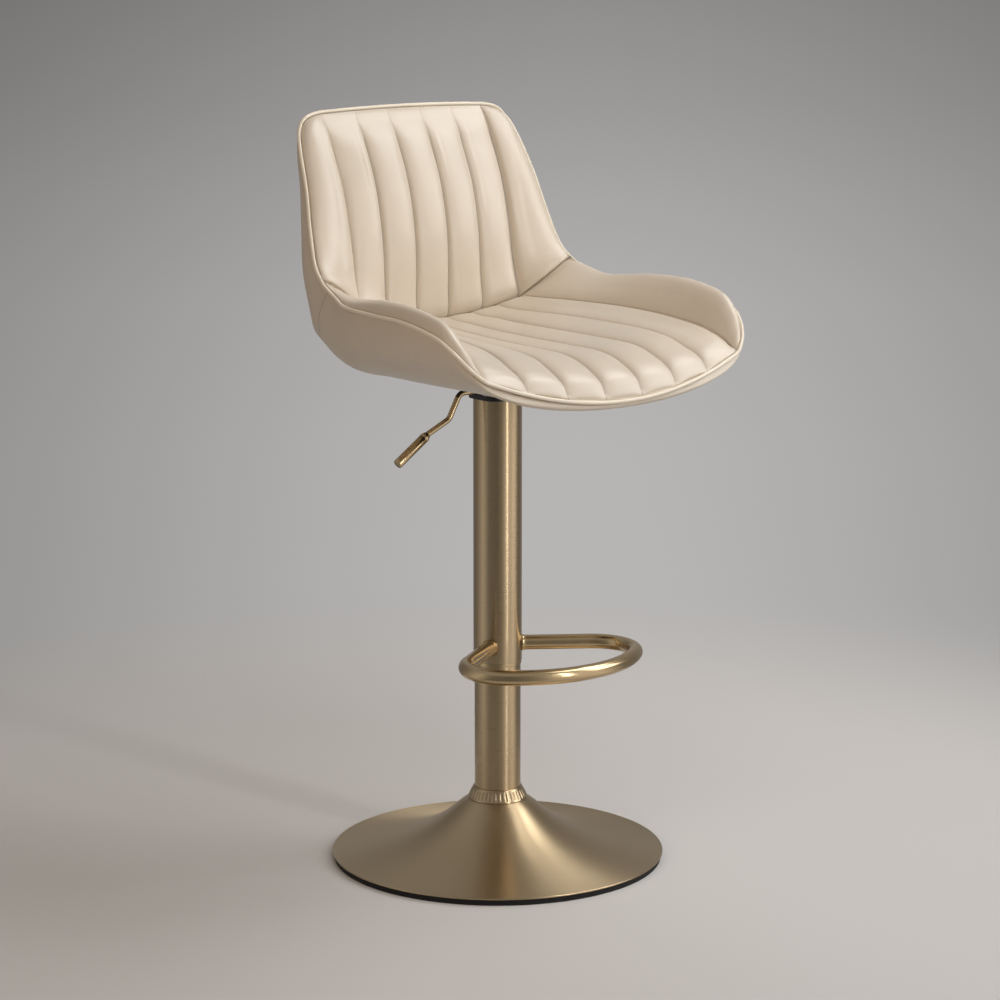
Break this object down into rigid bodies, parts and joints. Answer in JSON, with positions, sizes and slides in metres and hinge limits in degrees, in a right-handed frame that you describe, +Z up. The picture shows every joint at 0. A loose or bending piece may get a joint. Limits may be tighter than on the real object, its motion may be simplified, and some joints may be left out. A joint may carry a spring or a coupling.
{
  "type": "bar stool",
  "caption": "Height-adjustable swivel bar stool with a trumpet base, telescopic column, footrest hoop, height lever and padded bucket seat.",
  "frame": {"origin": "on the floor at the column's axis", "axes": "+Z up along the column, the sitter faces -Y, +X to the sitter's left; the lever is on the -X side"},
  "size_m": [0.44, 0.441, 0.896],
  "materials": {
    "brushed_brass": "satin brushed champagne brass plating",
    "polished_brass": "polished champagne brass plating",
    "rubber": "matt black rubber",
    "steel": "plain zinc-plated steel",
    "black_paint": "satin black powder coat",
    "black_plastic": "black nylon",
    "cream_leather": "smooth cream synthetic leather, satin sheen",
    "piping_leather": "smooth cream synthetic leather cord",
    "plywood": "bent plywood"
  },
  "bodies": {
    "base": {"floor_ring": "rubber", "centre_foot": "rubber", "base_plate": "steel", "base_dish": "brushed_brass", "neck_ring": "brushed_brass", "column_flange": "steel", "foot_bolts": "steel", "lower_column": "brushed_brass", "column_bush": "black_plastic", "bearing_seat": "steel", "race_lower": "steel", "bearing_balls": "steel"},
    "spindle": {"race_upper": "steel", "rod_washer": "steel", "rod_clip": "steel", "piston_rod": "steel", "piston": "black_plastic"},
    "upper": {"gas_cylinder": "black_paint", "rod_guide": "black_plastic", "sleeve": "brushed_brass", "sleeve_collar": "steel", "sleeve_guide_ring": "polished_brass", "footrest_hoop": "polished_brass", "seat_plate": "black_paint", "lever_bracket": "steel", "lever_pin": "steel", "seat_bolts": "steel", "seat_inserts": "steel", "outer_cover": "cream_leather", "seat_shell": "plywood", "seat_cushion": "cream_leather", "back_cushion": "cream_leather", "wing_right": "cream_leather", "wing_left": "cream_leather", "piping": "piping_leather"},
    "lever": {"lever_hub": "steel", "lever_rod": "polished_brass", "lever_grip": "polished_brass"},
    "valve": {"valve_button": "black_plastic"}
  },
  "joints": [
    {"name": "swivel", "type": "hinge", "parent": "base", "child": "spindle", "pos_m": [0, 0, 0.0544], "axis": [0, 0, 1], "continuous": true},
    {"name": "lift", "type": "slide", "parent": "spindle", "child": "upper", "axis": [0, 0, 1], "range_m": [0, 0.2]},
    {"name": "lever_tilt", "type": "hinge", "parent": "upper", "child": "lever", "pos_m": [-0.022, 0, 0.5724], "axis": [0, 1, 0], "range_deg": [0, 8]},
    {"name": "valve_press", "type": "slide", "parent": "upper", "child": "valve", "axis": [0, 0, -1], "range_m": [0, 0.0032]}
  ],
  "couplings": [
    {"joint": "valve_press", "follows": "lever_tilt", "m_per_rad": 0.0225}
  ]
}
